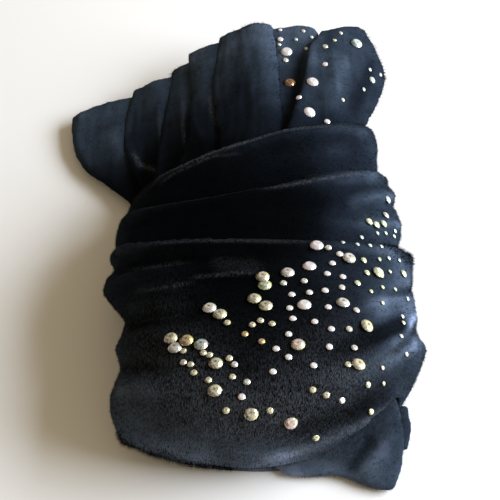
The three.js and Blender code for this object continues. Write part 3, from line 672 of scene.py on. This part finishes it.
# How readily a fibre takes each shade, its painted light included; the last two say from where a fibre
# takes the brighter painted sheen.
PALE_GLINT_SHARE = 0.4
SHEEN_SHARE = 1.6
BRIGHT_SHEEN_SHARE = 2.2
BRIGHT_SHEEN_AT_CUT_EDGE = 0.5
BRIGHT_SHEEN_FROM = 0.55


def corners_of(mesh):
    """The three point numbers of each of a mesh's triangles."""
    mesh.calc_loop_triangles()
    corners = np.empty(len(mesh.loop_triangles) * 3, np.int32)
    mesh.loop_triangles.foreach_get("vertices", corners)
    return corners.reshape(-1, 3)


def root_fibres(nodes, count, rng):
    """Scatters the fibres' roots evenly over some cloths, thicker at cut edges, and leaves out covered ones.
    Gives the roots, the way the cloth faces there, and marks: painted sheen, painted glint on the streaks,
    painted rim highlight and cut edge."""
    spots = []
    for node in nodes:
        mesh = cloth[node].data
        corners = corners_of(mesh)
        points = points_of(mesh)
        a, b, c = (points[corners[:, i]] for i in range(3))
        cut = near_cut_edge(points, node)
        marks = np.column_stack([pile_marks[node][:, :3], cut])
        area = np.linalg.norm(np.cross(b - a, c - a), axis=1) * (1 + CUT_EDGE_TUFTS * cut[corners].mean(1))
        spots.append(((points, normals_of(mesh), marks), corners, area))
    total = sum(area.sum() for _, _, area in spots)
    found = []
    for kinds, corners, area in spots:
        share = int(count * area.sum() / total)
        picked = corners[rng.choice(len(area), share, p=area / area.sum())]
        weights = rng.dirichlet((1, 1, 1), share)[:, :, None]
        found.append([(kind[picked] * weights).sum(1) for kind in kinds])
    roots, normals, marks = (np.concatenate(kind) for kind in zip(*found))
    normals /= np.linalg.norm(normals, axis=1, keepdims=True)
    shown = np.array([
        cloth_tree.ray_cast(Vector((p + START_OFF * n) * MM), Vector(n), COVERED_WITHIN)[0] is None
        for p, n in zip(roots, normals)
    ])
    shown &= roots[:, 2] > UNDERSIDE
    return roots[shown], normals[shown], marks[shown]


def fibre_points(roots, normals, cut, rng):
    """Four points for each fibre, three round its foot and its tip, leaning with the nap."""
    ways = normals + PILE_LEAN + rng.normal(0, PILE_SCATTER, roots.shape)
    ways += normals * np.maximum(0, LEAST_RISE - (ways * normals).sum(1))[:, None]
    ways /= np.linalg.norm(ways, axis=1, keepdims=True)
    lengths = PILE_LENGTH * rng.uniform(*PILE_LENGTHS, len(roots)) * (1 + CUT_EDGE_LENGTH * cut)
    side = np.cross(ways, rng.normal(0, 1, roots.shape))
    side /= np.linalg.norm(side, axis=1, keepdims=True)
    other = np.cross(ways, side)
    foot = roots - ROOT_DEPTH * normals
    ring = [foot + PILE_WIDTH / 2 * (math.cos(t) * side + math.sin(t) * other) for t in ROUND_FOOT]
    tips = roots + ways * lengths[:, None]
    tips[:, 2] = np.maximum(tips[:, 2], FLOOR_CLEAR)
    return np.stack([*ring, tips], 1).reshape(-1, 3)


def fibre_shades(marks, rng):
    """Each fibre's material: 0 black, 1 pale with painted glint, 2 painted blue-grey sheen, 3 brighter painted
    sheen.
    """
    painted_sheen, streak_glint, rim_highlight, cut = marks.T
    draw = rng.uniform(0, 1, len(marks))
    pale_glint = draw < PALE_GLINT_SHARE * streak_glint + PALE_GLINT_SHARE * rim_highlight
    shade = np.where(pale_glint, 1, np.where(draw > 1 - SHEEN_SHARE * painted_sheen, 2, 0))
    shade[draw > 1 - BRIGHT_SHEEN_SHARE * (painted_sheen + BRIGHT_SHEEN_AT_CUT_EDGE * cut - BRIGHT_SHEEN_FROM)] = 3
    return shade


def grow_pile(name, nodes, count, seed):
    """Loose velvet fibres that stand off the cloth: slim closed spikes, joined into one piece."""
    rng = np.random.default_rng(seed)
    roots, normals, marks = root_fibres(nodes, count, rng)
    points = fibre_points(roots, normals, marks[:, 3], rng)
    spike = np.array(((0, 2, 1), (0, 1, 3), (1, 2, 3), (2, 0, 3)))
    faces = (spike[None] + 4 * np.arange(len(roots))[:, None, None]).reshape(-1)
    mesh = bpy.data.meshes.new(name)
    mesh.vertices.add(len(points))
    mesh.vertices.foreach_set("co", (points * MM).ravel())
    mesh.loops.add(len(faces))
    mesh.loops.foreach_set("vertex_index", faces)
    mesh.polygons.add(len(faces) // 3)
    mesh.polygons.foreach_set("loop_start", np.arange(0, len(faces), 3))
    mesh.polygons.foreach_set("material_index", np.repeat(fibre_shades(marks, rng), len(spike)))
    mesh.update(calc_edges=True)
    piece = new_object(name, mesh)
    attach(piece, "root")
    return piece


pile = [
    grow_pile("pile_on_drape", ["front_drape"], 62000, 21),
    grow_pile("pile_on_turns", ["wrap_turn_1", "wrap_turn_2"], 60000, 22),
    grow_pile("pile_on_fan", FAN, 70000, 23),
    grow_pile("pile_on_corner", ["corner_panel", "side_tab"], 16000, 24),
]


# ---------------------------------------------------------------- materials
def velvet():
    """Polyester-spandex stretch velvet, warp-knitted with a cut pile. Upright fibres swallow light seen from
    above and catch it at a glancing angle. The base colour holds painted light: painted highlights on rims and
    folds, a painted blue-grey sheen, and a painted glint on the fine pale streaks along the nap."""
    material, tree = new_material("black_stretch_velvet")
    place = add_node(tree, "ShaderNodeTexCoord").outputs["Object"]
    pile_light = add_node(tree, "ShaderNodeSeparateColor", links={
        "Color": add_node(tree, "ShaderNodeAttribute", {"attribute_name": "pile_painted_light"}).outputs["Color"]})
    # Pile clumps about 0.45 mm across and 1.5 mm along the nap.
    along_nap = add_node(tree, "ShaderNodeMapping", values={"Scale": (1 / 0.00045, 1 / 0.0015, 1 / 0.0015)},
                         links={"Vector": place})
    clumps = add_node(tree, "ShaderNodeTexNoise", values={"Scale": 1.0, "Detail": 3.0, "Roughness": 0.65},
                      links={"Vector": along_nap.outputs[0]}).outputs["Fac"]
    # Hand-sized marks where the pile has been brushed either way, a centimetre or two wide.
    patches = add_node(tree, "ShaderNodeTexNoise", values={"Scale": 70.0, "Detail": 3.0, "Roughness": 0.6},
                       links={"Vector": place}).outputs["Fac"]
    uneven = add_node(tree, "ShaderNodeMapRange",
                      values={"From Min": 0.3, "From Max": 0.7, "To Min": 0.88, "To Max": 1.1},
                      links={"Value": patches}).outputs[0]
    # Painted sheen: the first painted value, made uneven by the patches, picks a colour from black to pale
    # blue-grey.
    painted_sheen = add_node(tree, "ShaderNodeMath", {"operation": "MULTIPLY"},
                    links={0: pile_light.outputs[0], 1: uneven}).outputs[0]
    gleam = ramp(tree, painted_sheen, [(0.0, "#020304"), (0.2, "#080b0f"), (0.4, "#171d26"), (0.6, "#2f3945"),
                              (0.8, "#525e70"), (1.0, "#8c9bba")])
    streaks = ramp(tree, clumps, [(0.4, 0.0), (0.68, 1.0)])
    # Pale streaks: the painted glint and the painted rim highlights, laid on the streak texture of the pile.
    pale_glint = add_node(tree, "ShaderNodeMath", {"operation": "MULTIPLY"},
                      links={0: streaks, 1: pile_light.outputs[1]})
    rim_highlit = add_node(tree, "ShaderNodeMath", {"operation": "MULTIPLY"},
                      links={0: streaks, 1: pile_light.outputs[2]})
    pale = add_node(tree, "ShaderNodeMath", {"operation": "MAXIMUM", "use_clamp": True},
                    links={0: pale_glint.outputs[0], 1: rim_highlit.outputs[0]})
    # Sockets 6 and 7 of a colour mix are its two colours.
    colour = add_node(tree, "ShaderNodeMix", {"data_type": "RGBA"}, values={7: linear("#595d63")},
                      links={"Factor": pale.outputs[0], 6: gleam})
    bump = add_node(tree, "ShaderNodeBump", values={"Strength": 0.6, "Distance": 0.0004},
                    links={"Height": clumps})
    shader = add_node(
        tree, "ShaderNodeBsdfPrincipled",
        values={"Roughness": 0.95, "Specular IOR Level": 0.02, "Sheen Weight": 0.035, "Sheen Roughness": 0.22,
                "Sheen Tint": linear("#c4d0e2")},
        links={"Base Color": colour.outputs[2], "Normal": bump.outputs[0]})
    finish_material(tree, shader)
    return material


def pile_fibres(name, code):
    """The same polyester as single fibres: smooth enough for a faint gleam along each one."""
    material, tree = new_material(name)
    shader = add_node(
        tree, "ShaderNodeBsdfPrincipled",
        values={"Base Color": linear(code), "Roughness": 0.7, "Specular IOR Level": 0.03})
    finish_material(tree, shader)
    return material


def coated_crystal():
    """Machine-cut lead-free glass with a mirror foil behind and a thin rainbow coat over the facets, so each
    facet gives back a hard bright reflection in its own tint. The tint attribute also paints light: painted
    highlights towards the window, painted coloured flashes and a painted dark reflection in the table."""
    material, tree = new_material("rainbow_coated_crystal")
    tint = add_node(tree, "ShaderNodeAttribute", {"attribute_name": "tint"})
    shader = add_node(
        tree, "ShaderNodeBsdfPrincipled",
        values={"Roughness": 0.13, "Metallic": 0.42, "Specular IOR Level": 0.8, "Coat Weight": 1.0,
                "Coat Roughness": 0.03},
        links={"Base Color": tint.outputs["Color"]})
    finish_material(tree, shader)
    return material


def paint(pieces, *materials):
    for piece in pieces:
        piece.data.materials.clear()
        for material in materials:
            piece.data.materials.append(material)


paint(cloth.values(), velvet())
# Besides the black pile, pale and blue-grey copies of it paint its light: painted glint, painted sheen,
# brighter painted sheen.
paint(pile, pile_fibres("black_pile", "#030405"), pile_fibres("pale_glint_pile", "#44484d"),
      pile_fibres("painted_sheen_pile", "#303846"), pile_fibres("painted_bright_sheen_pile", "#667286"))
paint(crystals, coated_crystal())


# ---------------------------------------------------------------- stage
FLOOR_HALF_WIDTH = 3.0
WINDOW_AT = (1.15, 0.1, 0.7)
WINDOW_SIZE = (1.15, 0.85)
WINDOW_POWER = 42
WINDOW_AIM = (0, 0, 0.03)
ROOM_LIGHT = 0.37


def build_stage():
    floor_mesh = bpy.data.meshes.new("floor")
    bm = bmesh.new()
    bmesh.ops.create_grid(bm, x_segments=1, y_segments=1, size=FLOOR_HALF_WIDTH)
    bm.to_mesh(floor_mesh)
    bm.free()
    material, tree = new_material("matt_white_board")
    shader = add_node(tree, "ShaderNodeBsdfPrincipled",
                      values={"Base Color": linear("#f4f3f0"), "Roughness": 0.7, "Specular IOR Level": 0.2})
    finish_material(tree, shader)
    floor_mesh.materials.append(material)
    new_object("floor", floor_mesh)


def light_stage():
    """A warm dim room with one cool window on the right."""
    world = bpy.data.worlds.new("room")
    world.use_nodes = True
    bpy.context.scene.world = world
    background = world.node_tree.nodes["Background"]
    background.inputs["Color"].default_value = linear("#ffe9c4")
    background.inputs["Strength"].default_value = ROOM_LIGHT
    light = bpy.data.lights.new("window", "AREA")
    light.shape = "RECTANGLE"
    light.size, light.size_y = WINDOW_SIZE
    light.energy = WINDOW_POWER
    light.color = linear("#e9f2ff")[:3]
    lamp = new_object("window", light)
    lamp.location = WINDOW_AT
    lamp.rotation_euler = (Vector(WINDOW_AIM) - Vector(WINDOW_AT)).to_track_quat("-Z", "Y").to_euler()
    bpy.context.scene.view_settings.view_transform = "Standard"


place_camera()
build_stage()
light_stage()
